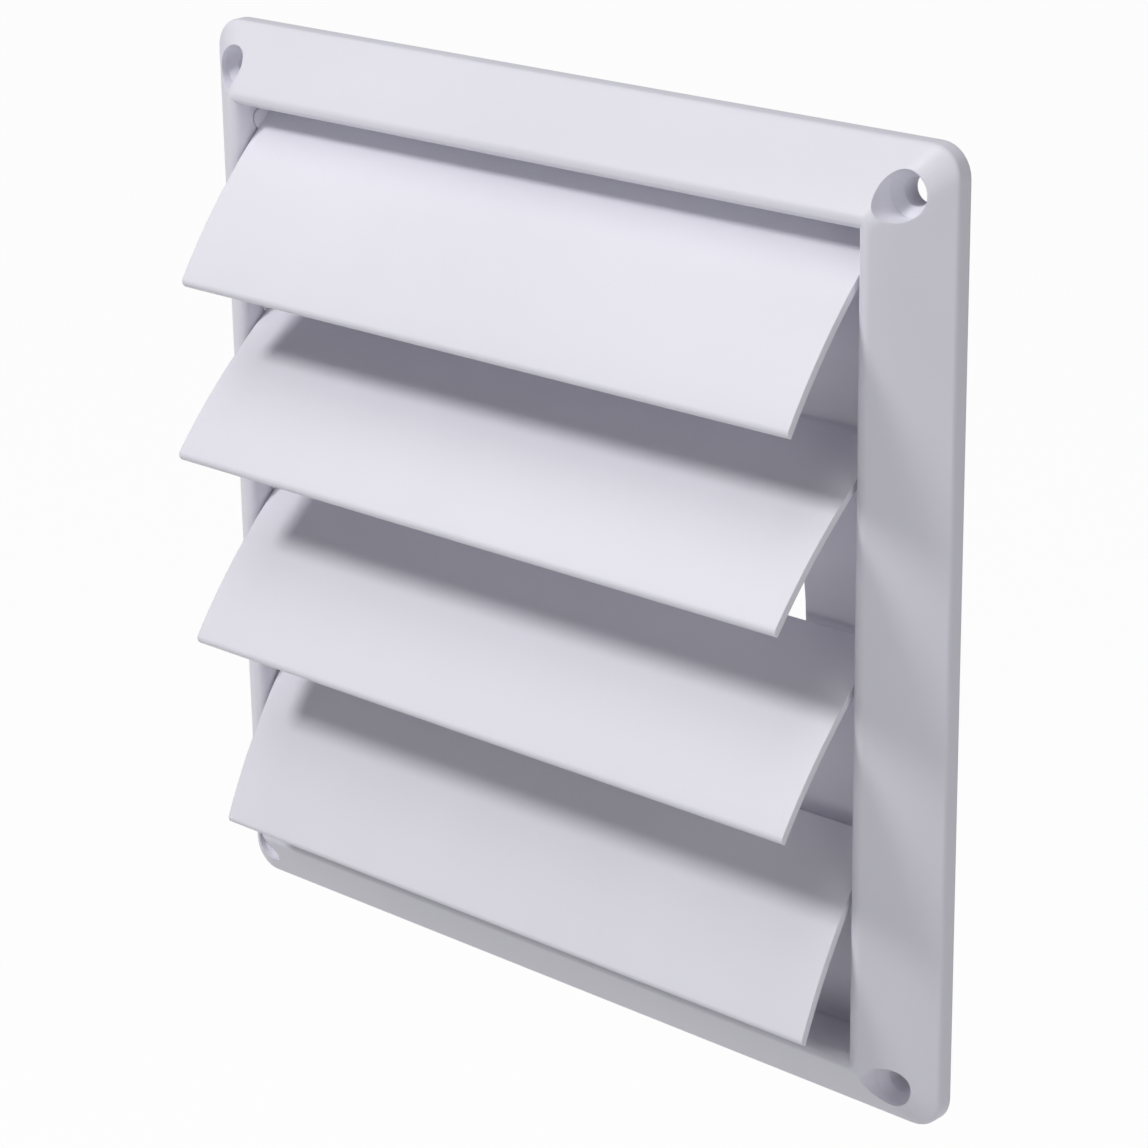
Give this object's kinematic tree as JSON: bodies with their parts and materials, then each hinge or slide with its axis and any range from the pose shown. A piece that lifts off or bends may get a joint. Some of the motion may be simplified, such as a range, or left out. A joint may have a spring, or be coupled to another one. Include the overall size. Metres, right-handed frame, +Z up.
{
  "type": "louvred wall vent",
  "caption": "Square bevelled wall vent with cambered swinging flaps, corner screw recesses and a round duct collar behind.",
  "frame": {"origin": "on the duct axis, in the wall plane (the back of the face's rim and back plate)", "axes": "+X right seen from the front, +Z up, -Y out of the wall towards the viewer, +Y along the duct collar into the wall"},
  "size_m": [0.154, 0.059, 0.154],
  "materials": {
    "frame_plastic": "satin white moulded plastic",
    "flap_plastic": "satin white moulded plastic"
  },
  "bodies": {
    "frame": {"frame": "frame_plastic"},
    "flap_1": {"flap_1": "flap_plastic"},
    "flap_2": {"flap_2": "flap_plastic"},
    "flap_3": {"flap_3": "flap_plastic"},
    "flap_4": {"flap_4": "flap_plastic"}
  },
  "joints": [
    {"name": "flap_1_swing", "type": "hinge", "parent": "frame", "child": "flap_1", "pos_m": [0, -0.005, 0.0619], "axis": [-1, 0, 0], "range_deg": [-36.9, 39.5]},
    {"name": "flap_2_swing", "type": "hinge", "parent": "frame", "child": "flap_2", "pos_m": [0, -0.005, 0.0305], "axis": [-1, 0, 0], "range_deg": [-43.6, 32.8]},
    {"name": "flap_3_swing", "type": "hinge", "parent": "frame", "child": "flap_3", "pos_m": [0, -0.005, -0.0009], "axis": [-1, 0, 0], "range_deg": [-38.9, 37.5]},
    {"name": "flap_4_swing", "type": "hinge", "parent": "frame", "child": "flap_4", "pos_m": [0, -0.005, -0.0323], "axis": [-1, 0, 0], "range_deg": [-27.6, 48.8]}
  ]
}
